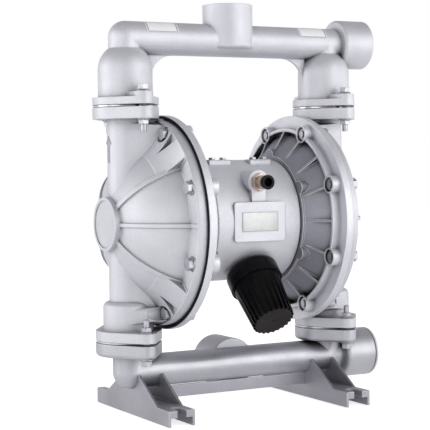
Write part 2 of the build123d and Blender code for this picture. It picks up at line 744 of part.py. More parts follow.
def chamber_ribs():
    """Ribs between the bowl and the rim, hollow-cheeked towards the body."""
    top_x = CHAMBER_BACK_X - RIM_H + 0.5
    rim_r = RIM_R - RIM_W / 2
    foot = (BOWL_FOOT_X + 1.0, CHAMBER_RING_R + 1.0)
    waist = ((foot[0] + top_x) / 2 + 1.0, (foot[1] + rim_r) / 2 - 1.0)
    inside = (BOWL_RIM_X + 1.0, BOWL_RIM_R - 1.0)
    outline = chain(foot, (waist, (top_x, rim_r - 3.0)), (top_x, rim_r), (CHAMBER_BACK_X + 1.0, rim_r), (CHAMBER_BACK_X + 1.0, inside[1]), inside)
    rib = extrude(Plane.XZ * make_face(outline), RIB_T / 2, both=True)
    body = None
    for i in range(RIB_COUNT):
        one = Pos(0, 0, SHAFT_Z) * Rot(360.0 / RIB_COUNT * i, 0, 0) * rib
        body = one if body is None else body + one
    return body


def air_chamber():
    body = chamber_shell() + chamber_ribs()
    for angle in clamp_places():
        y, z = at_clock(BOLT_CIRCLE_R, angle)
        body += cyl_x(NUT_BOSS_R, NUT_BOSS_X, CHAMBER_FACE_X, y, z)
    for angle in screw_angles():
        y, z = at_clock(CHAMBER_RING_R, angle)
        body += cyl_x(SCREW_BOSS_R, AIR_FACE_X, SCREW_BOSS_X, y, z) - air_space()
    for angle in clamp_places():
        y, z = at_clock(BOLT_CIRCLE_R, angle)
        body -= cyl_x(CLAMP_BOLT_R + BOLT_GAP, NUT_BOSS_X, CHAMBER_FACE_X, y, z)
        body -= cyl_x(NUT_POCKET_R, NUT_BOSS_X, NUT_SEAT_X, y, z)
    for angle in screw_angles():
        y, z = at_clock(SCREW_CIRCLE_R, angle)
        body -= cyl_x(SCREW_R + RUN_GAP, AIR_FACE_X, CHAMBER_FLOOR_X, y, z)
    return body


def air_space():
    """The space inside an air chamber, on the air side of its diaphragm."""
    return round_shaft(loop(
        (CHAMBER_FLOOR_X, 0),
        (CHAMBER_FLOOR_X, CHAMBER_RING_R - BOWL_WALL),
        (CHAMBER_BACK_X, WEB_OUTER_R),
        (CHAMBER_FACE_X, WEB_OUTER_R),
        (CHAMBER_FACE_X, 0),
    ))


def chamber_screws(side):
    """Screws from inside an air chamber into the centre body."""
    screws = []
    for angle in screw_angles():
        y, z = at_clock(SCREW_CIRCLE_R, angle)
        shank = cyl_x(SCREW_R, CHAMBER_FLOOR_X - SCREW_L, CHAMBER_FLOOR_X, y, z)
        head = cyl_x(SCREW_HEAD_R, CHAMBER_FLOOR_X, CHAMBER_FLOOR_X + SCREW_HEAD_T, y, z)
        screws.append(on_side(shank + head, side))
    return screws


# Diaphragms, plates and shaft

def diaphragm():
    """Bead ring, rolled web and centre disc of one rubber diaphragm."""
    x0 = CHAMBER_FACE_X
    x1 = CAP_FACE_X
    mid_r = (WEB_INNER_R + WEB_OUTER_R) / 2
    outer = ((x1 + WEB_RISE, mid_r), (x1, WEB_INNER_R))
    inner = ((x0 + WEB_RISE, mid_r), (x0, WEB_OUTER_R))
    outline = chain(
        (x0, BEAD_R),
        (x1, BEAD_R),
        (x1, WEB_OUTER_R),
        outer,
        (x1, PLATE_SCREW_R + SEAT_GAP),
        (x0, PLATE_SCREW_R + SEAT_GAP),
        (x0, WEB_INNER_R),
        inner,
    )
    body = round_shaft(outline)
    for angle in clamp_places():
        y, z = at_clock(BOLT_CIRCLE_R, angle)
        body -= cyl_x(CLAMP_BOLT_R + BOLT_GAP, x0, x1, y, z)
    return body


def inner_plate():
    x0 = CHAMBER_FACE_X - INNER_PLATE_T
    rim = x0 + INNER_PLATE_T / 2
    return round_shaft(loop(
        (x0, PLATE_SCREW_R),
        (x0, PLATE_HUB_R),
        (rim, WEB_INNER_R - FREE_GAP),
        (CHAMBER_FACE_X, WEB_INNER_R - FREE_GAP),
        (CHAMBER_FACE_X, PLATE_SCREW_R),
    ))


def outer_plate():
    top = CAP_FACE_X + OUTER_PLATE_T
    return round_shaft(loop(
        (CAP_FACE_X, PLATE_SCREW_R),
        (CAP_FACE_X, WEB_INNER_R - FREE_GAP),
        (CAP_FACE_X + OUTER_PLATE_RIM, WEB_INNER_R - FREE_GAP),
        (top, PLATE_HUB_R),
        (top, PLATE_SCREW_R),
    ))


def plate_screw():
    seat = CAP_FACE_X + OUTER_PLATE_T
    reach = OUTER_PLATE_T + BEAD_T + INNER_PLATE_T + PLATE_SCREW_GRIP
    bolt = hex_bolt(PLATE_SCREW_R, PLATE_SCREW_HEX, PLATE_SCREW_HEAD, reach)
    return Pos(seat, 0, SHAFT_Z) * Rot(0, 90, 0) * bolt


def diaphragm_shaft():
    half = CHAMBER_FACE_X - INNER_PLATE_T
    body = cyl_x(SHAFT_R, -half, half, 0, SHAFT_Z)
    for s in (-1, 1):
        body -= cyl_x(PLATE_SCREW_R, s * (half - PLATE_SCREW_GRIP), s * half, 0, SHAFT_Z)
    return body


def ring_x(outer, bore, x0, x1, z):
    return cyl_x(outer, x0, x1, 0, z) - cyl_x(bore, x0, x1, 0, z)


def shaft_bush(side):
    return on_side(ring_x(BUSH_R, SHAFT_R + RUN_GAP, BODY_HALF - BUSH_L, BODY_HALF, SHAFT_Z), side)


def shaft_seal(side):
    x1 = BODY_HALF - BUSH_L
    return on_side(ring_x(SEAL_R, SHAFT_R + RUN_GAP, x1 - SEAL_L, x1, SHAFT_Z), side)


def pilot_rod():
    return cyl_x(ROD_R, -ROD_HALF, ROD_HALF, 0, SHAFT_Z + ROD_Z)


def pilot_bush(side):
    z = SHAFT_Z + ROD_Z
    return on_side(ring_x(ROD_BUSH_R, ROD_R + RUN_GAP, BODY_HALF - ROD_BUSH_L, BODY_HALF, z), side)


# Centre body

def centre_body():
    body = cyl_x(BODY_R, -BODY_HALF, BODY_HALF, 0, SHAFT_Z)
    pad = block(-PAD_W / 2, PAD_W / 2, -PAD_Y, 0, PAD_Z - PAD_H / 2, PAD_Z + PAD_H / 2)
    pad = fillet(pad.edges().filter_by(Axis.Y), PAD_ROUND)
    boss = cyl_y(AIR_BOSS_R, -AIR_BOSS_Y, 0, 0, AIR_Z)
    neck = block(-NECK_W / 2, NECK_W / 2, -AIR_BOSS_Y, 0, PAD_Z, AIR_Z)
    rear = valve_outline(0, VALVE_Y)
    lands = [block(s * LAND_X - LAND_W / 2, s * LAND_X + LAND_W / 2, LAND_Y - LAND_D / 2, LAND_Y + LAND_D / 2, SHAFT_Z, LAND_Z) for s in (-1, 1)]
    body += pad + boss + neck + rear + lands[0] + lands[1] + muffler_seat()
    body -= cyl_x(SHAFT_R + FREE_GAP, -BODY_HALF, BODY_HALF, 0, SHAFT_Z)
    body -= cyl_x(ROD_R + FREE_GAP, -BODY_HALF, BODY_HALF, 0, SHAFT_Z + ROD_Z)
    for s in (-1, 1):
        x1 = s * BODY_HALF
        x0 = s * (BODY_HALF - BUSH_L)
        body -= cyl_x(BUSH_R, x0, x1, 0, SHAFT_Z)
        body -= cyl_x(SEAL_R, s * (BODY_HALF - BUSH_L - SEAL_L), x0, 0, SHAFT_Z)
        body -= cyl_x(ROD_BUSH_R, s * (BODY_HALF - ROD_BUSH_L), x1, 0, SHAFT_Z + ROD_Z)
        for angle in screw_angles():
            y, z = at_clock(SCREW_CIRCLE_R, angle)
            depth = SCREW_L - CHAMBER_FLOOR_T - BODY_GASKET_T
            body -= cyl_x(SCREW_R, s * (BODY_HALF - depth), x1, y, z)
    body -= cyl_y(FITTING_THREAD_R, -AIR_BOSS_Y, -AIR_BOSS_Y + FITTING_THREAD_L, 0, AIR_Z)
    body -= muffler_bore()
    body -= valve_screw_holes(VALVE_Y - VALVE_SCREW_GRIP, VALVE_Y)
    for s in (-1, 1):
        for x in cover_screw_places(s):
            body -= cyl_z(COVER_SCREW_R, LAND_Z - COVER_SCREW_L + COVER_T, LAND_Z, x, LAND_Y)
    return body


def body_gasket(side):
    """Thin ring between the centre body and an air chamber."""
    ring = cyl_x(BODY_R, BODY_HALF, AIR_FACE_X, 0, SHAFT_Z)
    ring -= cyl_x(CHAMBER_HOLE_R, BODY_HALF, AIR_FACE_X, 0, SHAFT_Z)
    for angle in screw_angles():
        y, z = at_clock(SCREW_CIRCLE_R, angle)
        ring -= cyl_x(SCREW_R + RUN_GAP, BODY_HALF, AIR_FACE_X, y, z)
    return on_side(ring, side)


def name_plate():
    """Bare plate on the front pad."""
    z0 = PAD_Z - PLATE_H / 2
    return block(-PLATE_W / 2, PLATE_W / 2, -PAD_Y - PLATE_T, -PAD_Y, z0, z0 + PLATE_H)


def cover_screw_places(side):
    middle = side * LAND_X
    return middle - COVER_SCREW_PITCH / 2, middle + COVER_SCREW_PITCH / 2


def pilot_cover(side):
    half = LAND_W / 2
    x = side * LAND_X
    plate = block(x - half, x + half, LAND_Y - LAND_D / 2, LAND_Y + LAND_D / 2, LAND_Z, LAND_Z + COVER_T)
    for place in cover_screw_places(side):
        plate -= cyl_z(COVER_SCREW_R, LAND_Z, LAND_Z + COVER_T, place, LAND_Y)
    return plate


def pilot_cover_screws():
    bolt = hex_bolt(COVER_SCREW_R, COVER_SCREW_HEX, COVER_SCREW_HEAD, COVER_SCREW_L)
    places = cover_screw_places(-1) + cover_screw_places(1)
    return [Pos(x, LAND_Y, LAND_Z + COVER_T) * bolt for x in places]


# Air inlet

def air_inlet_fitting():
    y0 = -AIR_BOSS_Y
    y1 = y0 - FITTING_HEX_L
    y2 = y1 - FITTING_BARREL_L
    prism = extrude(RegularPolygon(FITTING_HEX / 2, 6, major_radius=False), FITTING_HEX_L)
    body = Pos(0, y0, AIR_Z) * Rot(90, 0, 0) * Rot(0, 0, 30) * prism
    body += cyl_y(FITTING_THREAD_R, y0, y0 + FITTING_THREAD_L, 0, AIR_Z)
    body += cyl_y(FITTING_BARREL_R, y2, y1, 0, AIR_Z)
    socket = y2 + COLLAR_SLEEVE_L + COLLAR_TRAVEL
    body -= cyl_y(COLLAR_SLEEVE_R + RUN_GAP, y2, socket, 0, AIR_Z)
    return body - cyl_y(HOSE_R - 2 * FREE_GAP, y2, y0 + FITTING_THREAD_L, 0, AIR_Z)


def release_collar():
    y2 = -AIR_BOSS_Y - FITTING_HEX_L - FITTING_BARREL_L
    y3 = y2 - COLLAR_TRAVEL - SEAT_GAP
    y4 = y3 - COLLAR_T
    body = cyl_y(COLLAR_R, y4, y3, 0, AIR_Z)
    body = fillet(body.edges().filter_by(GeomType.CIRCLE).sort_by(Axis.Y)[0], FREE_GAP)
    body += cyl_y(COLLAR_SLEEVE_R, y4, y2 + COLLAR_SLEEVE_L - COLLAR_TRAVEL, 0, AIR_Z)
    return body - cyl_y(HOSE_R, y4, y2 + COLLAR_SLEEVE_L, 0, AIR_Z)


# Exhaust muffler, built along +Z and then leant out and down

def lean(shape):
    turn = Rot(90 + MUFFLER_ANGLE, 0, 0)
    return Pos(0, 0, SHAFT_Z) * turn * Pos(0, -MUFFLER_DROP, 0) * shape


def muffler_seat():
    """Flat-faced boss on the body that the muffler screws into."""
    return lean(cyl_z(MUFFLER_SPIGOT_R + CHAMBER_FLOOR_T, BODY_R / 2, MUFFLER_SEAT))


def muffler_bore():
    return lean(cyl_z(MUFFLER_SPIGOT_R, MUFFLER_SEAT - MUFFLER_SPIGOT_L, MUFFLER_SEAT))


def muffler_cap():
    top = MUFFLER_SEAT + MUFFLER_CAP_L
    drum = cyl_z(MUFFLER_CAP_R, MUFFLER_SEAT, top)
    drum = fillet(drum.edges().filter_by(GeomType.CIRCLE).sort_by(Axis.Z)[0], MUFFLER_CAP_ROUND)
    return lean(drum + cyl_z(MUFFLER_SPIGOT_R, MUFFLER_SEAT - MUFFLER_SPIGOT_L, MUFFLER_SEAT))


def muffler_cage():
    """Fluted, slightly tapered cage with a flat end."""
    z0 = MUFFLER_SEAT + MUFFLER_CAP_L
    z1 = z0 + MUFFLER_L
    edge = (MUFFLER_END_R - MUFFLER_END_ROUND, z1)
    face = Plane.XZ * make_face(loop((0, z0), (MUFFLER_FOOT_R, z0), (MUFFLER_END_R, z1 - MUFFLER_END_ROUND), edge, (0, z1)))
    body = revolve(face, Axis.Z)
    lift = FLUTE_DEPTH
    slope = (MUFFLER_FOOT_R - MUFFLER_END_R) / MUFFLER_L
    foot = MUFFLER_FOOT_R - slope * lift
    outline = loop((foot, z0 + lift), (foot + lift, z0 + lift), (foot + lift, z1), (MUFFLER_END_R - lift, z1))
    flute = extrude(Plane.XZ * make_face(outline), FLUTE_W / 2, both=True)
    for i in range(MUFFLER_FLUTES):
        body -= Rot(0, 0, 360.0 / MUFFLER_FLUTES * i) * flute
    return lean(body)


# Air valve

def valve_outline(y0, y1):
    body = block(-VALVE_W / 2, VALVE_W / 2, y0, y1, SHAFT_Z - VALVE_H / 2, SHAFT_Z + VALVE_H / 2)
    return fillet(body.edges().filter_by(Axis.Y), VALVE_ROUND)


def valve_screw_holes(y0, y1):
    x = VALVE_W / 2 - VALVE_SCREW_INSET
    z = VALVE_H / 2 - VALVE_SCREW_INSET
    holes = None
    for sx in (-1, 1):
        for sz in (-1, 1):
            hole = cyl_y(VALVE_SCREW_R, y0, y1, sx * x, SHAFT_Z + sz * z)
            holes = hole if holes is None else holes + hole
    return holes


def valve_back():
    return VALVE_Y + VALVE_GASKET_T


def spool_y():
    return valve_back() + VALVE_D / 2


def valve_gasket():
    ring = valve_outline(VALVE_Y, valve_back())
    return ring - valve_screw_holes(VALVE_Y, valve_back())


def valve_block():
    y0 = valve_back()
    body = valve_outline(y0, y0 + VALVE_D)
    body -= cyl_x(SPOOL_R + RUN_GAP, -VALVE_W / 2, VALVE_W / 2, spool_y(), SHAFT_Z)
    return body - valve_screw_holes(y0, y0 + VALVE_D)


def valve_screws():
    y1 = valve_back() + VALVE_D
    x = VALVE_W / 2 - VALVE_SCREW_INSET
    z = VALVE_H / 2 - VALVE_SCREW_INSET
    y0 = VALVE_Y - VALVE_SCREW_GRIP
    screws = []
    for sx in (-1, 1):
        for sz in (-1, 1):
            shank = cyl_y(VALVE_SCREW_R, y0, y1, sx * x, SHAFT_Z + sz * z)
            head = cyl_y(VALVE_SCREW_HEAD_R, y1, y1 + VALVE_SCREW_HEAD_T, sx * x, SHAFT_Z + sz * z)
            screws.append(shank + head)
    return screws


def valve_spool():
    """Spool with three lands and two narrow necks."""
    body = cyl_x(SPOOL_R, -SPOOL_L / 2, SPOOL_L / 2, spool_y(), SHAFT_Z)
    for s in (-1, 1):
        x = s * SPOOL_L / 4
        neck = cyl_x(SPOOL_R + FREE_GAP, x - SPOOL_NECK_L / 2, x + SPOOL_NECK_L / 2, spool_y(), SHAFT_Z)
        body -= neck - cyl_x(SPOOL_NECK_R, x - SPOOL_NECK_L / 2, x + SPOOL_NECK_L / 2, spool_y(), SHAFT_Z)
    return body


def valve_end_cap(side):
    x0 = VALVE_W / 2
    disc = cyl_x(END_CAP_R, x0, x0 + END_CAP_T, spool_y(), SHAFT_Z)
    plug = cyl_x(SPOOL_R, x0 - END_CAP_SPIGOT, x0, spool_y(), SHAFT_Z)
    return on_side(disc + plug, side)


# Valve seats, gaskets and balls

def valve_seat(joint_z):
    """Flanged seat ring clamped in a joint, with its spigot below."""
    z0 = joint_z - SEAT_T / 2
    body = cyl_z(FLANGE_R - FREE_GAP, z0, z0 + SEAT_T, LEG_X)
    body += cyl_z(SEAT_SPIGOT_R, z0 - GASKET_T - SEAT_SPIGOT, z0, LEG_X)
    return body - cyl_z(SEAT_BORE_R, z0 - GASKET_T - SEAT_SPIGOT, z0 + SEAT_T, LEG_X)


def seat_gaskets(joint_z):
    """The gaskets under and over a seat's flange."""
    half = SEAT_T / 2
    ring_r = FLANGE_R - FREE_GAP
    bore_r = SEAT_SPIGOT_R + FREE_GAP
    rings = []
    for z0 in (joint_z - half - GASKET_T, joint_z + half):
        ring = cyl_z(ring_r, z0, z0 + GASKET_T, LEG_X) - cyl_z(bore_r, z0, z0 + GASKET_T, LEG_X)
        rings += [ring, mirror(ring, about=Plane.YZ)]
    return rings


def valve_ball(joint_z):
    seat_top = joint_z + SEAT_T / 2
    return Pos(LEG_X, 0, seat_top + BALL_DROP + SEAT_GAP) * Sphere(BALL_R)


# Fasteners

def clamp_bolts(side):
    grip = SPOT_X - NUT_SEAT_X + CLAMP_NUT_T + CLAMP_NUT_STICKOUT
    bolt = hex_bolt(CLAMP_BOLT_R, CLAMP_HEX, CLAMP_HEAD_T, grip, CLAMP_WASHER_R)
    bolts = []
    for angle in clamp_places():
        y, z = at_clock(BOLT_CIRCLE_R, angle)
        bolts.append(on_side(Pos(SPOT_X, y, z) * Rot(0, 90, 0) * bolt, side))
    return bolts


def clamp_nuts(side):
    nut = hex_nut(CLAMP_BOLT_R, CLAMP_HEX, CLAMP_NUT_T)
    nuts = []
    for angle in clamp_places():
        y, z = at_clock(BOLT_CIRCLE_R, angle)
        nuts.append(on_side(Pos(NUT_SEAT_X, y, z) * Rot(0, -90, 0) * nut, side))
    return nuts


def joint_places():
    return [(sx * LEG_X, sy * LOBE_Y) for sx in (-1, 1) for sy in (-1, 1)]


def joint_fasteners(head_z, nut_z):
    """Bolts with heads at head_z and nuts at nut_z, one pair a lobe."""
    way = 1 if head_z > nut_z else -1
    grip = abs(head_z - nut_z) + JOINT_NUT_T + JOINT_STICKOUT
    bolt = hex_bolt(JOINT_BOLT_R, JOINT_HEX, JOINT_HEAD_T, grip, JOINT_WASHER_R)
    nut = hex_nut(JOINT_BOLT_R, JOINT_HEX, JOINT_NUT_T, JOINT_WASHER_R)
    up = Rot(0, 0, 0) if way > 0 else Rot(180, 0, 0)
    down = Rot(180, 0, 0) if way > 0 else Rot(0, 0, 0)
    bolts = [Pos(x, y, head_z) * up * bolt for x, y in joint_places()]
    nuts = [Pos(x, y, nut_z) * down * nut for x, y in joint_places()]
    return bolts, nuts


# Feet, rail and plugs

def foot():
    """Inverted channel with end slots and two cheeks that carry the tube."""
    half = FOOT_W / 2
    length = FOOT_HALF_L
    channel = block(-half, half, -length, length, 0, FOOT_H)
    channel -= block(-half + FOOT_WALL, half - FOOT_WALL, -length, length, 0, FOOT_H - FOOT_TOP_T)
    top = CHEEK_TOP_Z
    outline = loop((-CHEEK_START_Y, 0), (-CHEEK_START_Y, FOOT_H), (-CHEEK_TOP_Y, top), (CHEEK_TOP_Y, top), (CHEEK_START_Y, FOOT_H), (CHEEK_START_Y, 0))
    side = extrude(Plane.YZ * make_face(outline), FOOT_WALL)
    cheeks = Pos(-half, 0, 0) * side + Pos(half - FOOT_WALL, 0, 0) * side
    body = channel + cheeks
    body -= cyl_x(TUBE_R + SEAT_GAP, -half, half, 0, INLET_Z)
    slot_r = FOOT_SLOT_W / 2
    for s in (-1, 1):
        inner = s * (length - FOOT_SLOT_L + slot_r)
        body -= cyl_z(slot_r, 0, FOOT_H, 0, inner)
        body -= block(-slot_r, slot_r, min(inner, s * length), max(inner, s * length), 0, FOOT_H)
    return Pos(FOOT_X, 0, 0) * body


def foot_rail():
    """Flat bar between the feet, in front of the rear port's boss."""
    reach = FOOT_X - FOOT_W / 2
    y1 = INLET_PORT_FRONT - SEAT_GAP
    return block(-reach, reach, y1 - RAIL_T, y1, RAIL_Z, RAIL_Z + RAIL_H)


def outlet_plug():
    """Square-socket plug, sunk a little in the right end port."""
    x1 = END_PORT_X + END_PORT_LENGTH - PLUG_RECESS
    body = cyl_x(PORT_THREAD_R, x1 - PLUG_L, x1, 0, OUTLET_Z)
    half = PLUG_SQUARE / 2
    return body - block(x1 - PLUG_SQUARE_DEPTH, x1, -half, half, OUTLET_Z - half, OUTLET_Z + half)


def inlet_plug_gasket():
    x0 = END_PORT_X + END_PORT_LENGTH
    ring = cyl_x(PORT_R - COVER_GASKET_INSET - END_PORT_CHAMFER / 2, x0, x0 + COVER_GASKET_T, 0, INLET_Z)
    return ring - cyl_x(PORT_THREAD_R, x0, x0 + COVER_GASKET_T, 0, INLET_Z)


def inlet_plug():
    """Flanged plug that closes the right end port of the inlet manifold."""
    x0 = END_PORT_X + END_PORT_LENGTH + COVER_GASKET_T
    x1 = x0 + COVER_PLUG_T
    body = cyl_x(PORT_R, x0, x1, 0, INLET_Z)
    body = chamfer(body.edges().filter_by(GeomType.CIRCLE).sort_by(Axis.X)[-1], END_PORT_CHAMFER)
    return body + cyl_x(PORT_THREAD_R, x0 - PLUG_L, x0, 0, INLET_Z)


def all_nodes():
    nodes = {
        "outlet_manifold": outlet_manifold(),
        "inlet_manifold": inlet_manifold(),
        "centre_body": centre_body(),
        "name_plate": name_plate(),
        "diaphragm_shaft": diaphragm_shaft(),
        "pilot_rod": pilot_rod(),
        "valve_gasket": valve_gasket(),
        "valve_block": valve_block(),
        "valve_spool": valve_spool(),
        "valve_screws": valve_screws(),
        "pilot_cover_screws": pilot_cover_screws(),
        "air_inlet_fitting": air_inlet_fitting(),
        "release_collar": release_collar(),
        "muffler_cap": muffler_cap(),
        "muffler_cage": muffler_cage(),
        "outlet_plug": outlet_plug(),
        "inlet_plug_gasket": inlet_plug_gasket(),
        "inlet_plug": inlet_plug(),
        "foot_rail": foot_rail(),
        "plate_screws": [on_side(plate_screw(), s) for s in (-1, 1)],
        "shaft_bushes": [shaft_bush(s) for s in (-1, 1)],
        "shaft_seals": [shaft_seal(s) for s in (-1, 1)],
        "pilot_bushes": [pilot_bush(s) for s in (-1, 1)],
        "pilot_covers": [pilot_cover(s) for s in (-1, 1)],
        "valve_end_caps": [valve_end_cap(s) for s in (-1, 1)],
        "chamber_screws": chamber_screws(-1) + chamber_screws(1),
        "outlet_seat_gaskets": seat_gaskets(OUTLET_JOINT_Z),
        "inlet_seat_gaskets": seat_gaskets(INLET_JOINT_Z),
    }
    cap = fluid_cap()
    chamber = air_chamber()
    for name, side in SIDES:
        nodes[f"{name}_fluid_cap"] = on_side(cap, side)
        nodes[f"{name}_air_chamber"] = on_side(chamber, side)
        nodes[f"{name}_body_gasket"] = body_gasket(side)
        nodes[f"{name}_diaphragm"] = on_side(diaphragm(), side)
        nodes[f"{name}_inner_plate"] = on_side(inner_plate(), side)
        nodes[f"{name}_outer_plate"] = on_side(outer_plate(), side)
        nodes[f"{name}_clamp_bolts"] = clamp_bolts(side)
        nodes[f"{name}_clamp_nuts"] = clamp_nuts(side)
        nodes[f"{name}_foot"] = on_side(foot(), side)
        for level, joint_z in (("outlet", OUTLET_JOINT_Z), ("inlet", INLET_JOINT_Z)):
            nodes[f"{name}_{level}_seat"] = on_side(valve_seat(joint_z), side)
            nodes[f"{name}_{level}_ball"] = on_side(valve_ball(joint_z), side)
    bolts, nuts = joint_fasteners(OUTLET_FACE_Z + LOBE_T, CAP_TOP_Z - CAP_TOP_FLANGE_T)
    nodes["outlet_joint_bolts"] = bolts
    nodes["outlet_joint_nuts"] = nuts
    bolts, nuts = joint_fasteners(INLET_FACE_Z - INLET_FLANGE_T, CAP_BOTTOM_Z + CAP_BOTTOM_FLANGE_T)
    nodes["inlet_joint_bolts"] = bolts
    nodes["inlet_joint_nuts"] = nuts
    return nodes


os.makedirs("parts", exist_ok=True)
for node, shape in all_nodes().items():
    solid = Compound(shape) if isinstance(shape, list) else shape
    export_step(solid, f"parts/{node}.step")
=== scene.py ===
import bpy
import json
from math import atan2, cos, degrees, radians, sin
from mathutils import Matrix, Vector

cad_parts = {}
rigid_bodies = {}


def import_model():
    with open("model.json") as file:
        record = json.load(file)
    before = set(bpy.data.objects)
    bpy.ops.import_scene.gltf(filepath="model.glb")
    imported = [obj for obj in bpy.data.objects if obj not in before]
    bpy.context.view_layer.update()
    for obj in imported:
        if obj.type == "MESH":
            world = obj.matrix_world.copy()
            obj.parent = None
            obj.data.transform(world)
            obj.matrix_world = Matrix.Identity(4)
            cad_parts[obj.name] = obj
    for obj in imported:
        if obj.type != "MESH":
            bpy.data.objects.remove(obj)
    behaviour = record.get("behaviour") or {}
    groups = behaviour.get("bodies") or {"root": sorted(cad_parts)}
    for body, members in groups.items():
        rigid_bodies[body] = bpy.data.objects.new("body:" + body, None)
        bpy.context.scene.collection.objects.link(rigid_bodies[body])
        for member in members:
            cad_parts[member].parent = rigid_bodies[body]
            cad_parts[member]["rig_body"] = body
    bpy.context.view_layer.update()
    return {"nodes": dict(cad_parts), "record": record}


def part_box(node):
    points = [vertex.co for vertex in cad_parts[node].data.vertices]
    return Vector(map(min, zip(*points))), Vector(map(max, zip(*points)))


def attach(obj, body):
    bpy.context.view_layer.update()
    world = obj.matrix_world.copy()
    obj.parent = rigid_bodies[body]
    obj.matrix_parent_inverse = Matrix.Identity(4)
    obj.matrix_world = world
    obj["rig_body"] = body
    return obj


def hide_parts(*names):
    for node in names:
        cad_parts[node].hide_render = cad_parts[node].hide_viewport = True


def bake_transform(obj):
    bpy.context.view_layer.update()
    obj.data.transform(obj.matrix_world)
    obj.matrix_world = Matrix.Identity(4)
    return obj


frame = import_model()
nodes = frame["nodes"]


# Selecting and finishing by hand

def pick(*objects):
    bpy.ops.object.select_all(action="DESELECT")
    for item in objects:
        item.select_set(True)
    bpy.context.view_layer.objects.active = objects[0]


def apply_all(piece):
    pick(piece)
    for modifier in list(piece.modifiers):
        bpy.ops.object.modifier_apply(modifier=modifier.name)


def settle(piece):
    """Leave the object at the origin, unturned, with its place in its mesh."""
    pick(piece)
    bpy.ops.object.transform_apply(location=True, rotation=True, scale=True)


def round_edges(piece, width, angle=35):
    bevel = piece.modifiers.new("edges", "BEVEL")
    bevel.width = width
    bevel.segments = 2
    bevel.limit_method = "ANGLE"
    bevel.angle_limit = radians(angle)
    bevel.miter_outer = "MITER_ARC"
    apply_all(piece)


def smooth(piece, angle=40):
    pick(piece)
    bpy.ops.object.shade_smooth_by_angle(angle=radians(angle))


def even_shading(piece):
    """Let the large faces keep their own direction, so that rounded edges don't streak them."""
    weigh = piece.modifiers.new("even", "WEIGHTED_NORMAL")
    weigh.mode = "FACE_AREA"
    weigh.weight = 80
    weigh.keep_sharp = True
    apply_all(piece)


def paint(piece, material):
    piece.data.materials.clear()
    piece.data.materials.append(material)


MERGE_GAP = 0.00001
FLAT_WITHIN = radians(0.6)


def solid_copy(node, edge=0.0):
    """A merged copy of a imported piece, with its sharp edges rounded."""
    mesh = nodes[node].data.copy()
    piece = bpy.data.objects.new(node + "_made", mesh)
    bpy.context.scene.collection.objects.link(piece)
    pick(piece)
    bpy.ops.object.mode_set(mode="EDIT")
    bpy.ops.mesh.select_all(action="SELECT")
    bpy.ops.mesh.remove_doubles(threshold=MERGE_GAP)
    bpy.ops.mesh.customdata_custom_splitnormals_clear()
    bpy.ops.mesh.dissolve_limited(angle_limit=FLAT_WITHIN)
    bpy.ops.object.mode_set(mode="OBJECT")
    if edge:
        round_edges(piece, edge)
    smooth(piece)
    even_shading(piece)
    return piece


def twin(piece):
    """A copy of a piece, with a mesh of its own."""
    copy = piece.copy()
    copy.data = piece.data.copy()
    bpy.context.scene.collection.objects.link(copy)
    return copy


def dress(piece, node, material):
    """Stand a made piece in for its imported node, on the body that the node rides."""
    paint(piece, material)
    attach(piece, nodes[node]["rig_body"])
    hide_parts(node)


# Finishes

SHAFT_Z = 0.2625
NODE_SAMPLES = 6
WHITE = (1.0, 1.0, 1.0)


def new_finish(name):
    material = bpy.data.materials.new(name)
    material.use_nodes = True
    tree = material.node_tree
    shader = tree.nodes["Principled BSDF"]
    place = tree.nodes.new("ShaderNodeTexCoord")
    return material, tree, shader, place


def noise(tree, place, scale, detail=2.0, rough=0.5):
    texture = tree.nodes.new("ShaderNodeTexNoise")
    texture.inputs["Scale"].default_value = scale
    texture.inputs["Detail"].default_value = detail
    texture.inputs["Roughness"].default_value = rough
    tree.links.new(place.outputs["Object"], texture.inputs["Vector"])
    return texture.outputs["Fac"]


def grey(level):
    return (level, level, level)


def spread(tree, source, low, high, start=0.3, end=0.7):
    """Turn a 0 to 1 pattern into values between low and high."""
    ramp = tree.nodes.new("ShaderNodeMapRange")
    ramp.inputs["From Min"].default_value = start
    ramp.inputs["From Max"].default_value = end
    ramp.inputs["To Min"].default_value = low
    ramp.inputs["To Max"].default_value = high
    tree.links.new(source, ramp.inputs["Value"])
    return ramp.outputs["Result"]


def tint(tree, source, first, second, start=0.3, end=0.7):
    """Turn a 0 to 1 pattern into colours between the first and the second."""
    ramp = tree.nodes.new("ShaderNodeValToRGB")
    ramp.color_ramp.elements[0].position = start
    ramp.color_ramp.elements[0].color = (*first, 1.0)
    ramp.color_ramp.elements[1].position = end
    ramp.color_ramp.elements[1].color = (*second, 1.0)
    tree.links.new(source, ramp.inputs["Fac"])
    return ramp.outputs["Color"]


def grain(tree, height, depth, strength, under):
    """Surface relief from a pattern, on top of the normal that lies under it."""
    bump = tree.nodes.new("ShaderNodeBump")
    bump.inputs["Distance"].default_value = depth
    bump.inputs["Strength"].default_value = strength
    tree.links.new(height, bump.inputs["Height"])
    tree.links.new(under, bump.inputs["Normal"])
    return bump.outputs["Normal"]


def soft_edge(tree, radius):
    """The surface's own normal, rounded along sharp edges."""
    bevel = tree.nodes.new("ShaderNodeBevel")
    bevel.samples = NODE_SAMPLES
    bevel.inputs["Radius"].default_value = radius
    return bevel.outputs["Normal"]


def in_corners(tree, reach, own=True):
    """0 deep in a hollow and 1 in the open; own leaves the other pieces out."""
    shade = tree.nodes.new("ShaderNodeAmbientOcclusion")
    shade.samples = NODE_SAMPLES
    shade.only_local = own
    shade.inputs["Distance"].default_value = reach
    return shade.outputs["AO"]


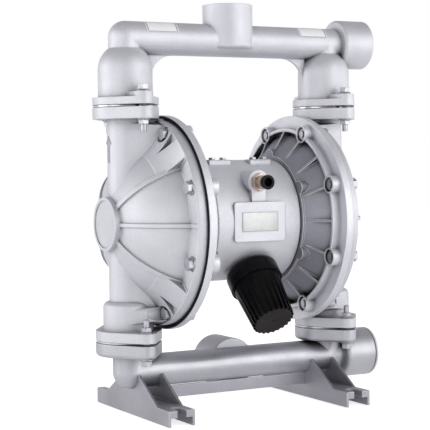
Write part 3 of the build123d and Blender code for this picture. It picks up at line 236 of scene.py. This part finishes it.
def mixed(tree, amount, first, second, kind="MIX"):
    """Two colours mixed; each of the three may be a plain value or another node's socket."""
    mix = tree.nodes.new("ShaderNodeMix")
    mix.data_type = "RGBA"
    mix.blend_type = kind
    for socket, value in ((mix.inputs[0], amount), (mix.inputs[6], first), (mix.inputs[7], second)):
        if isinstance(value, tuple):
            socket.default_value = (*value, 1.0)
        elif isinstance(value, float):
            socket.default_value = value
        else:
            tree.links.new(value, socket)
    return mix.outputs[2]


def darkened(tree, base, shade):
    return mixed(tree, 1.0, base, shade, kind="MULTIPLY")


def plain_value(tree, kind, first, second):
    """One step of arithmetic on two values, each a plain number or another node's socket."""
    maths = tree.nodes.new("ShaderNodeMath")
    maths.operation = kind
    for socket, value in zip(maths.inputs, (first, second)):
        if isinstance(value, float):
            socket.default_value = value
        else:
            tree.links.new(value, socket)
    return maths.outputs["Value"]


def on_edges(tree, edge_normal, start=0.02, end=0.12):
    """1 along the corners, where the rounded normal leaves the face's own, and 0 on plain walls."""
    shape = tree.nodes.new("ShaderNodeNewGeometry")
    compare = tree.nodes.new("ShaderNodeVectorMath")
    compare.operation = "DOT_PRODUCT"
    tree.links.new(edge_normal, compare.inputs[0])
    tree.links.new(shape.outputs["Normal"], compare.inputs[1])
    return spread(tree, compare.outputs["Value"], 1.0, 0.0, 1.0 - end, 1.0 - start)


def within_shaft_radius(tree, place, radius, blur=0.002):
    """1 nearer to the shaft's axis than the radius, and 0 outside it."""
    parts = tree.nodes.new("ShaderNodeSeparateXYZ")
    tree.links.new(place.outputs["Object"], parts.inputs["Vector"])
    depth = parts.outputs["Y"]
    height = plain_value(tree, "SUBTRACT", parts.outputs["Z"], SHAFT_Z)
    squares = plain_value(tree, "ADD", plain_value(tree, "MULTIPLY", height, height),
                          plain_value(tree, "MULTIPLY", depth, depth))
    distance = plain_value(tree, "SQRT", squares, 0.0)
    return spread(tree, distance, 1.0, 0.0, radius - blur, radius + blur)


def cast_finish(name, pale, dark, edge_highlight, metal=0.7, gloss=(0.46, 0.56), edge=0.0016, pit=0.00010,
                corner_shade=0.22, reach=0.022, speckle=0.92, inner=None):
    """Shot-blast aluminium casting: sandy pits, mottled sheen, painted shade in corners and creases,
    painted highlight along edges.

    inner is (radius, tone, reach): inside that radius about the shaft the casting gets painted shade,
    down to tone, and darker still in its hollows within reach.
    """
    material, tree, shader, place = new_finish(name)
    shader.inputs["Metallic"].default_value = metal

    mottle = noise(tree, place, 16.0, 5.0, 0.6)
    base = tint(tree, mottle, dark, pale, 0.35, 0.65)
    sand = noise(tree, place, 620.0, 2.0, 0.7)
    base = darkened(tree, base, tint(tree, sand, grey(speckle), WHITE, 0.35, 0.62))
    # Painted shade: darker in the casting's hollows, and more narrowly in its creases
    hollow = in_corners(tree, reach)
    base = darkened(tree, base, tint(tree, hollow, grey(corner_shade), WHITE, 0.12, 0.85))
    crease_shade = in_corners(tree, 0.005)
    base = darkened(tree, base, tint(tree, crease_shade, grey(0.42), WHITE, 0.25, 0.75))
    # Painted shade inside the chamber: darker within the wall radius, darker still where other pieces
    # stand close
    if inner:
        radius, tone, deep = inner
        inside = within_shaft_radius(tree, place, radius)
        shaded = tint(tree, in_corners(tree, deep, own=False), grey(0.14), tone, 0.10, 0.90)
        base = darkened(tree, base, mixed(tree, inside, WHITE, shaded))

    rounded = soft_edge(tree, edge)
    # Painted highlight: edges in the open are lightened towards the highlight colour
    corners = on_edges(tree, rounded)
    in_the_open = spread(tree, hollow, 0.0, 1.0, 0.4, 0.65)
    highlight_on_edges = plain_value(tree, "MULTIPLY", corners, in_the_open)
    tree.links.new(mixed(tree, highlight_on_edges, base, edge_highlight), shader.inputs["Base Color"])

    sheen = noise(tree, place, 60.0, 3.0)
    tree.links.new(spread(tree, sheen, *gloss), shader.inputs["Roughness"])
    pits = grain(tree, noise(tree, place, 700.0, 3.0, 0.65), pit, 0.6, rounded)
    fine_pits = grain(tree, noise(tree, place, 2200.0, 1.0), pit * 0.5, 0.5, pits)
    tree.links.new(fine_pits, shader.inputs["Normal"])
    return material


def plated_finish(name, pale, dark, gloss=(0.22, 0.32), edge=0.0004, corner_shade=0.35, reach=0.008):
    """Plated or machined metal: faint mottle, painted shade where other pieces stand close."""
    material, tree, shader, place = new_finish(name)
    shader.inputs["Metallic"].default_value = 1.0
    base = tint(tree, noise(tree, place, 120.0, 3.0), dark, pale)
    # Painted shade where other pieces stand close
    corner = tint(tree, in_corners(tree, reach, own=False), grey(corner_shade), WHITE, 0.2, 0.8)
    tree.links.new(darkened(tree, base, corner), shader.inputs["Base Color"])
    sheen = noise(tree, place, 300.0, 2.0)
    tree.links.new(spread(tree, sheen, *gloss), shader.inputs["Roughness"])
    relief = grain(tree, noise(tree, place, 1500.0), 0.00003, 0.5, soft_edge(tree, edge))
    tree.links.new(relief, shader.inputs["Normal"])
    return material


def moulded_finish(name, dark, pale, gloss=(0.35, 0.5), pit=0.00008, specular=0.5, groove=0.0):
    """Moulding, rubber or film; groove is the reach of the painted shade between its ribs."""
    material, tree, shader, place = new_finish(name)
    shader.inputs["Specular IOR Level"].default_value = specular
    base = tint(tree, noise(tree, place, 40.0, 3.0), dark, pale)
    if groove:
        # Painted shade between the ribs
        between_ribs = in_corners(tree, groove)
        base = darkened(tree, base, tint(tree, between_ribs, grey(0.04), WHITE, 0.45, 0.95))
    tree.links.new(base, shader.inputs["Base Color"])
    sheen = noise(tree, place, 90.0, 2.0)
    tree.links.new(spread(tree, sheen, *gloss), shader.inputs["Roughness"])
    relief = grain(tree, noise(tree, place, 1200.0), pit, 0.5, soft_edge(tree, 0.0005))
    tree.links.new(relief, shader.inputs["Normal"])
    return material


CHAMBER_WALL_R = 0.1255

casting = cast_finish(
    "shot_blast_casting", (0.75, 0.75, 0.795), (0.69, 0.69, 0.735), (0.93, 0.93, 0.95),
    reach=0.030, metal=0.64, gloss=(0.49, 0.57))
# Painted shade: the same casting, made darker for the lower manifold
shaded_low_casting = cast_finish(
    "lower_casting_painted_shade", (0.62, 0.62, 0.66), (0.54, 0.54, 0.58), (0.90, 0.90, 0.92),
    reach=0.030, corner_shade=0.14, metal=0.85, gloss=(0.38, 0.46))
# The body's own bluish tint, and lighter than the other castings as painted light where the discs keep
# light off it
body_casting = cast_finish(
    "body_casting_with_painted_light", (0.86, 0.86, 0.91), (0.81, 0.81, 0.86), (0.95, 0.95, 0.97),
    reach=0.016, metal=0.56, gloss=(0.52, 0.60))
# Chamber casting with painted shade inside the wall radius
inner_casting = cast_finish(
    "chamber_with_painted_shade", (0.84, 0.84, 0.89), (0.76, 0.76, 0.81), WHITE,
    corner_shade=0.3, reach=0.012, edge=0.002, inner=(CHAMBER_WALL_R, (0.48, 0.48, 0.52), 0.075))
# Painted shade: a darker copy of the casting for the pilot covers
cover_metal = cast_finish(
    "cover_plate_painted_shade", (0.46, 0.46, 0.50), (0.38, 0.38, 0.42), (0.90, 0.90, 0.92),
    gloss=(0.32, 0.42), pit=0.00005, speckle=0.95)
sheet_metal = cast_finish(
    "silver_painted_sheet", (0.47, 0.46, 0.50), (0.40, 0.39, 0.43), (0.88, 0.88, 0.90),
    gloss=(0.36, 0.46), pit=0.00005, speckle=0.95)
zinc = plated_finish(
    "bright_zinc", (0.58, 0.58, 0.61), (0.42, 0.42, 0.46), gloss=(0.28, 0.38), corner_shade=0.12, reach=0.010)
ground_steel = plated_finish(
    "ground_steel", (0.72, 0.72, 0.74), (0.64, 0.64, 0.67), gloss=(0.18, 0.28))
brass = plated_finish(
    "nickel_brass", (0.66, 0.55, 0.45), (0.42, 0.33, 0.26), gloss=(0.12, 0.20), corner_shade=0.15, reach=0.012)
bronze = plated_finish(
    "bearing_bronze", (0.72, 0.52, 0.32), (0.60, 0.42, 0.25), gloss=(0.3, 0.4))
plate_metal = plated_finish(
    "bare_plate", (0.78, 0.78, 0.77), (0.70, 0.70, 0.70), gloss=(0.5, 0.6))
black_plastic = moulded_finish(
    "black_moulding", (0.0035, 0.0035, 0.004), (0.007, 0.007, 0.0078),
    gloss=(0.18, 0.26), specular=0.14, pit=0.00003, groove=0.006)
black_rubber = moulded_finish(
    "black_rubber", (0.002, 0.0025, 0.005), (0.005, 0.006, 0.011), gloss=(0.4, 0.5), specular=0.12)
ball_rubber = moulded_finish("ball_rubber", (0.03, 0.03, 0.03), (0.05, 0.05, 0.05))
etched_line = moulded_finish(
    "etched_line", (0.30, 0.31, 0.33), (0.36, 0.37, 0.39), gloss=(0.5, 0.6))
label_film = moulded_finish(
    "white_label_film", (0.94, 0.94, 0.95), (0.97, 0.97, 0.98), gloss=(0.35, 0.45), pit=0.00001)
label_line = moulded_finish(
    "label_frame_ink", (0.22, 0.27, 0.36), (0.28, 0.33, 0.42), gloss=(0.4, 0.5), pit=0.00001)
dusty_moulding = moulded_finish(
    "dusty_moulding", (0.010, 0.0075, 0.0085), (0.016, 0.0125, 0.014),
    gloss=(0.55, 0.7), pit=0.0002, specular=0.25)


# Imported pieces, each with its finish and the width of its rounded edges

CASTINGS = (
    ("outlet_manifold", casting, 0.0010),
    ("inlet_manifold", shaded_low_casting, 0.0010),
    ("left_fluid_cap", casting, 0.0008),
    ("right_fluid_cap", casting, 0.0008),
    ("left_air_chamber", inner_casting, 0.0007),
    ("right_air_chamber", inner_casting, 0.0007),
    ("centre_body", body_casting, 0.0008),
    ("valve_block", casting, 0.0008),
    ("pilot_covers", cover_metal, 0.0004),
    ("valve_end_caps", casting, 0.0008),
)
for node, finish, edge in CASTINGS:
    dress(solid_copy(node, edge), node, finish)

SHEETS = (("left_foot", 0.0005), ("right_foot", 0.0005), ("foot_rail", 0.0004))
for node, edge in SHEETS:
    dress(solid_copy(node, edge), node, sheet_metal)

DIAPHRAGMS = ("left_diaphragm", "right_diaphragm")
BY_SLOT = {
    "plated_fasteners": (zinc, 0.0005),
    "bright_steel": (ground_steel, 0.0004),
    "seat_metal": (ground_steel, 0.0004),
    "plug_metal": (casting, 0.0006),
    "black_rubber": (black_rubber, 0.0),
    "ball_rubber": (ball_rubber, 0.0),
    "black_plastic": (black_plastic, 0.0004),
    "nickel_brass": (brass, 0.0004),
    "bronze_bush": (bronze, 0.0003),
    "bare_plate": (plate_metal, 0.0002),
}
for entry in frame["record"]["subparts"]:
    node, slot = entry["node"], entry["material_slot"]
    if slot in BY_SLOT and node not in DIAPHRAGMS:
        finish, edge = BY_SLOT[slot]
        dress(solid_copy(node, edge), node, finish)


# Diaphragms

WEDGES = 12


def flexing(node):
    """Cut a diaphragm into wedges, each reaching from the held rim to the plates."""
    whole = solid_copy(node)
    half = radians(180 / WEDGES)
    for number in range(WEDGES):
        middle = radians(360 * number / WEDGES)
        wedge = twin(whole)
        wedge.name = f"{node}_wedge_{number + 1}"
        pick(wedge)
        bpy.ops.object.mode_set(mode="EDIT")
        for side in (-1, 1):
            cut = middle + side * half
            bpy.ops.mesh.select_all(action="SELECT")
            bpy.ops.mesh.bisect(
                plane_co=(0, 0, SHAFT_Z), plane_no=(0, -side * sin(cut), side * cos(cut)),
                use_fill=True, clear_outer=True)
        bpy.ops.object.mode_set(mode="OBJECT")
        smooth(wedge)
        paint(wedge, black_rubber)
        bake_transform(wedge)
        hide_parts(node)
    bpy.data.objects.remove(whole)


for node in DIAPHRAGMS:
    flexing(node)


# Small pieces made by hand

OUTLET_Z = 0.5153
TUBE_R = 0.02265
LEG_X = 0.160
LEG_R = 0.026
ROOT = nodes["outlet_manifold"]["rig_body"]


def primitive(add, name, **settings):
    """Add a primitive by itself and settle it at the origin."""
    bpy.ops.object.select_all(action="DESELECT")
    add(**settings)
    piece = bpy.context.active_object
    piece.name = name
    settle(piece)
    return piece


def choose_faces(piece, wanted):
    """Select the faces that the given test keeps, and stay in edit mode."""
    pick(piece)
    bpy.ops.object.mode_set(mode="EDIT")
    bpy.ops.mesh.select_all(action="DESELECT")
    bpy.ops.mesh.select_mode(type="FACE")
    bpy.ops.object.mode_set(mode="OBJECT")
    for face in piece.data.polygons:
        face.select = wanted(face)
    bpy.ops.object.mode_set(mode="EDIT")


def framed(piece, margin, line):
    """Draw a frame line in the second material inside the selected sheet; leaves edit mode."""
    bpy.ops.mesh.inset(thickness=margin, depth=0.0)
    piece.active_material_index = 1
    bpy.ops.object.material_slot_assign()
    bpy.ops.mesh.inset(thickness=line, depth=0.0)
    piece.active_material_index = 0
    bpy.ops.object.material_slot_assign()
    bpy.ops.object.mode_set(mode="OBJECT")


LABEL_LIFT = 0.0003
LABEL_THICKNESS = 0.00015
LABEL_FRAME = 0.0014
LABEL_FROM, LABEL_TO = 20, 71


def tube_label(name, x0, x1):
    """A bare film label, with a thin ink frame, that lies round the front of the top tube."""
    label = primitive(
        bpy.ops.mesh.primitive_cylinder_add, name,
        vertices=144, radius=TUBE_R + LABEL_LIFT, depth=x1 - x0, end_fill_type="NOTHING",
        location=((x0 + x1) / 2, 0, OUTLET_Z), rotation=(0, radians(90), 0))
    label.data.materials.append(label_film)
    label.data.materials.append(label_line)

    def past_the_label(face):
        angle = degrees(atan2(-face.center.y, face.center.z - OUTLET_Z))
        return not LABEL_FROM < angle < LABEL_TO

    choose_faces(label, past_the_label)
    bpy.ops.mesh.delete(type="FACE")
    bpy.ops.mesh.select_all(action="SELECT")
    framed(label, LABEL_FRAME, LABEL_FRAME)
    film = label.modifiers.new("film", "SOLIDIFY")
    film.thickness = LABEL_THICKNESS
    film.offset = 1.0
    apply_all(label)
    smooth(label, 30)
    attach(label, ROOT)


tube_label("left_tube_label", -0.136, -0.088)
tube_label("right_tube_label", 0.1065, 0.1535)

plate = bpy.data.objects["name_plate_made"]
plate.data.materials.append(etched_line)
front_area = max(face.area for face in plate.data.polygons if face.normal.y < -0.9)
choose_faces(plate, lambda face: face.normal.y < -0.9 and face.area > 0.9 * front_area)
framed(plate, margin=0.0005, line=0.0006)

ARROW_TIP_Z = 0.3819
ARROW_HEAD_R = 0.0075
ARROW_TAIL = 0.0255
ARROW_TAIL_SHARE = 0.32


def flow_arrow(name, side):
    """A plain raised arrow cast on the outer side of a leg, pointing up."""
    head_middle = ARROW_TIP_Z - ARROW_HEAD_R
    head_foot = ARROW_TIP_Z - 1.5 * ARROW_HEAD_R
    arrow = primitive(
        bpy.ops.mesh.primitive_cylinder_add, name, vertices=3, radius=ARROW_HEAD_R, depth=0.0036,
        location=(side * (LEG_X + LEG_R - 0.0006), 0, head_middle),
        rotation=(radians(90), 0, radians(90)))
    choose_faces(arrow, lambda face: face.normal.z < -0.9)
    bpy.ops.mesh.inset(thickness=0.0001, depth=0.0)
    bpy.ops.transform.resize(
        value=(1, ARROW_TAIL_SHARE, 1), center_override=(side * (LEG_X + LEG_R), 0, head_foot))
    bpy.ops.mesh.extrude_region_move(TRANSFORM_OT_translate={"value": (0, 0, -ARROW_TAIL)})
    bpy.ops.object.mode_set(mode="OBJECT")
    round_edges(arrow, 0.0006, 40)
    smooth(arrow)
    # Painted shade: the cast arrow takes the darker sheet finish, so that it reads as the shade round
    # it
    paint(arrow, sheet_metal)
    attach(arrow, ROOT)


flow_arrow("left_flow_arrow", -1)


# End of the muffler

CAGE_TILT = radians(46.5)
CAGE_LEAN = Vector((0, -sin(CAGE_TILT), -cos(CAGE_TILT)))


def muffler_end():
    """Dusty end face of the muffler, with a small pip in its middle."""
    cage = bpy.data.objects["muffler_cage_made"]
    cage.data.materials.append(dusty_moulding)
    facing_out = [face for face in cage.data.polygons if face.normal.dot(CAGE_LEAN) > 0.95]
    end = max(facing_out, key=lambda face: face.area)
    lean, level = end.normal.copy(), end.center.dot(end.normal)
    flat = [face for face in cage.data.polygons
            if face.normal.dot(lean) > 0.999 and abs(face.center.dot(lean) - level) < 0.0003]
    for face in flat:
        face.material_index = 1
    weighed = sum((face.center * face.area for face in flat), Vector())
    middle = weighed / sum(face.area for face in flat)
    pip = primitive(
        bpy.ops.mesh.primitive_cylinder_add, "muffler_centre_pip", vertices=28, radius=0.0022,
        depth=0.0010, location=middle, rotation=lean.to_track_quat("Z", "Y").to_euler())
    choose_faces(pip, lambda face: face.normal.dot(lean) > 0.9)
    bpy.ops.mesh.inset(thickness=0.0007, depth=-0.0003)
    bpy.ops.object.mode_set(mode="OBJECT")
    round_edges(pip, 0.0003, 30)
    smooth(pip)
    paint(pip, black_plastic)
    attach(pip, ROOT)


muffler_end()


# Threads of the joint bolts

THREAD_R = 0.00402
PITCH = 0.00125
CREST = 1.09
TIP_TAPER = 0.8


def thread_rings(name, height):
    """Thread of one bolt end, standing on the origin, as rising ridges."""
    rings = primitive(bpy.ops.mesh.primitive_circle_add, name, vertices=28, radius=THREAD_R)
    bpy.ops.object.mode_set(mode="EDIT")
    bpy.ops.mesh.select_all(action="SELECT")
    z = 0.0
    while z < height - PITCH:
        for grow in (CREST, 1 / CREST):
            bpy.ops.mesh.extrude_region_move(TRANSFORM_OT_translate={"value": (0, 0, PITCH / 2)})
            z += PITCH / 2
            bpy.ops.transform.resize(value=(grow, grow, 1), center_override=(0, 0, z))
    bpy.ops.mesh.extrude_region_move(TRANSFORM_OT_translate={"value": (0, 0, 0.0007)})
    bpy.ops.transform.resize(value=(TIP_TAPER, TIP_TAPER, 1), center_override=(0, 0, z))
    bpy.ops.mesh.edge_face_add()
    bpy.ops.mesh.select_all(action="SELECT")
    bpy.ops.mesh.normals_make_consistent(inside=False)
    bpy.ops.object.mode_set(mode="OBJECT")
    smooth(rings, 30)
    return rings


def bolt_centres(node):
    """Middle of each of the four bolts in a node, one to a quarter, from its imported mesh."""
    centres = []
    points = [vertex.co for vertex in nodes[node].data.vertices]
    for sx in (-1, 1):
        for sy in (-1, 1):
            own = [p for p in points if p.x * sx > 0 and p.y * sy > 0]
            xs, ys = [p.x for p in own], [p.y for p in own]
            centres.append(((min(xs) + max(xs)) / 2, (min(ys) + max(ys)) / 2))
    return centres


def thread_ends(name, bolts, nuts, way):
    """Threads on the bolt ends that stand past the nuts, upwards for way 1 and downwards for way -1."""
    bolt_low, bolt_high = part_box(bolts)
    nut_low, nut_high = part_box(nuts)
    start = nut_high[2] if way > 0 else nut_low[2]
    height = abs((bolt_high[2] if way > 0 else bolt_low[2]) - start)
    first = thread_rings(name, height)
    if way < 0:
        first.data.transform(Matrix.Rotation(radians(180), 4, "X"))
    copies = []
    for x, y in bolt_centres(bolts):
        copy = twin(first)
        copy.data.transform(Matrix.Translation((x, y, start)))
        copies.append(copy)
    bpy.data.objects.remove(first)
    pick(*copies)
    bpy.ops.object.join()
    threads = bpy.context.active_object
    threads.name = name
    paint(threads, zinc)
    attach(threads, ROOT)


thread_ends("outlet_bolt_threads", "outlet_joint_bolts", "outlet_joint_nuts", -1)
thread_ends("inlet_bolt_threads", "inlet_joint_bolts", "inlet_joint_nuts", 1)


# Stage, lights and camera

def stage_finish(name, colour, glow, rough=0.5, specular=0.5):
    material = bpy.data.materials.new(name)
    material.use_nodes = True
    inputs = material.node_tree.nodes["Principled BSDF"].inputs
    inputs["Base Color"].default_value = (*colour, 1.0)
    inputs["Roughness"].default_value = rough
    inputs["Specular IOR Level"].default_value = specular
    inputs["Emission Color"].default_value = (*WHITE, 1.0)
    inputs["Emission Strength"].default_value = glow
    return material


def stage_piece(add, name, material, **settings):
    bpy.ops.object.select_all(action="DESELECT")
    add(**settings)
    piece = bpy.context.active_object
    piece.name = name
    paint(piece, material)
    return piece


def area_light(name, place, target, size, power):
    data = bpy.data.lights.new(name, "AREA")
    data.shape = "RECTANGLE"
    data.size, data.size_y = size
    data.energy = power
    lamp = bpy.data.objects.new(name, data)
    bpy.context.scene.collection.objects.link(lamp)
    lamp.location = place
    aim = Vector(target) - Vector(place)
    lamp.rotation_euler = aim.to_track_quat("-Z", "Y").to_euler()


# The floor and the backdrop show to the camera only; the bounce card lights the pump from below
floor = stage_piece(
    bpy.ops.mesh.primitive_plane_add, "floor",
    stage_finish("white_paper", (0.95, 0.95, 0.95), glow=0.72, rough=0.9),
    size=14.0, location=(0, 0, -0.0005))
bounce = stage_piece(
    bpy.ops.mesh.primitive_plane_add, "bounce_floor",
    stage_finish("bounce_card", (0.90, 0.90, 0.91), glow=0.24, rough=0.9),
    size=9.0, location=(0, 0, -0.0015))
bounce.visible_camera = False
backdrop = stage_piece(
    bpy.ops.mesh.primitive_cylinder_add, "backdrop",
    stage_finish("white_backdrop", (0.0, 0.0, 0.0), glow=1.0, specular=0.0),
    vertices=96, radius=6.5, depth=10.0, location=(0, 0, 2.0))
for piece in (floor, backdrop):
    piece.visible_diffuse = False
    piece.visible_glossy = False
    piece.visible_shadow = False

# Room light in level bands, from straight down at 0 to straight up at 1
BANDS = ((0.0, 0.62), (0.30, 0.66), (0.44, 0.84), (0.56, 0.84), (0.68, 0.60), (0.82, 0.38), (1.0, 0.34))
BLUE_CAST = 1.02

world = bpy.data.worlds.new("studio")
bpy.context.scene.world = world
world.use_nodes = True
room = world.node_tree
sky = room.nodes.new("ShaderNodeTexCoord")
split = room.nodes.new("ShaderNodeSeparateXYZ")
level = room.nodes.new("ShaderNodeMapRange")
level.inputs["From Min"].default_value = -1.0
bands = room.nodes.new("ShaderNodeValToRGB")
while len(bands.color_ramp.elements) < len(BANDS):
    bands.color_ramp.elements.new(0.5)
for stop, (place, shade) in zip(bands.color_ramp.elements, BANDS):
    stop.position = place
    stop.color = (shade, shade, shade * BLUE_CAST, 1.0)
room.links.new(sky.outputs["Generated"], split.inputs["Vector"])
room.links.new(split.outputs["Z"], level.inputs["Value"])
room.links.new(level.outputs["Result"], bands.inputs["Fac"])
room.links.new(bands.outputs["Color"], room.nodes["Background"].inputs["Color"])
room.nodes["Background"].inputs["Strength"].default_value = 1.0

area_light("back_left_softbox", (-2.8, 1.2, 0.8), (-0.1, 0, 0.3), (2.2, 2.2), 22.0)
area_light("left_softbox", (-3.0, -1.6, 0.9), (0, 0, 0.3), (2.2, 2.2), 13.0)
area_light("front_softbox", (1.6, -3.0, 1.05), (0, 0, 0.28), (2.6, 3.2), 40.0)
area_light("right_softbox", (2.8, -0.6, 0.7), (0.1, 0, 0.3), (1.4, 1.6), 7.0)

CAMERA_PLACE = Vector((-0.95498, -1.71598, 0.34895))
CAMERA_RIGHT = Vector((0.87861, -0.47739, -0.01186))
CAMERA_UP = Vector((0.02966, 0.02976, 0.99912))

lens = bpy.data.cameras.new("photo_camera")
lens.sensor_fit = "HORIZONTAL"
lens.sensor_width = 36.0
lens.lens = 115.88
lens.clip_end = 50.0
camera = bpy.data.objects.new("photo_camera", lens)
bpy.context.scene.collection.objects.link(camera)
turn = Matrix((CAMERA_RIGHT, CAMERA_UP, CAMERA_RIGHT.cross(CAMERA_UP))).transposed()
camera.matrix_world = Matrix.LocRotScale(CAMERA_PLACE, turn, None)
bpy.context.scene.camera = camera
bpy.context.scene.view_settings.view_transform = "Standard"
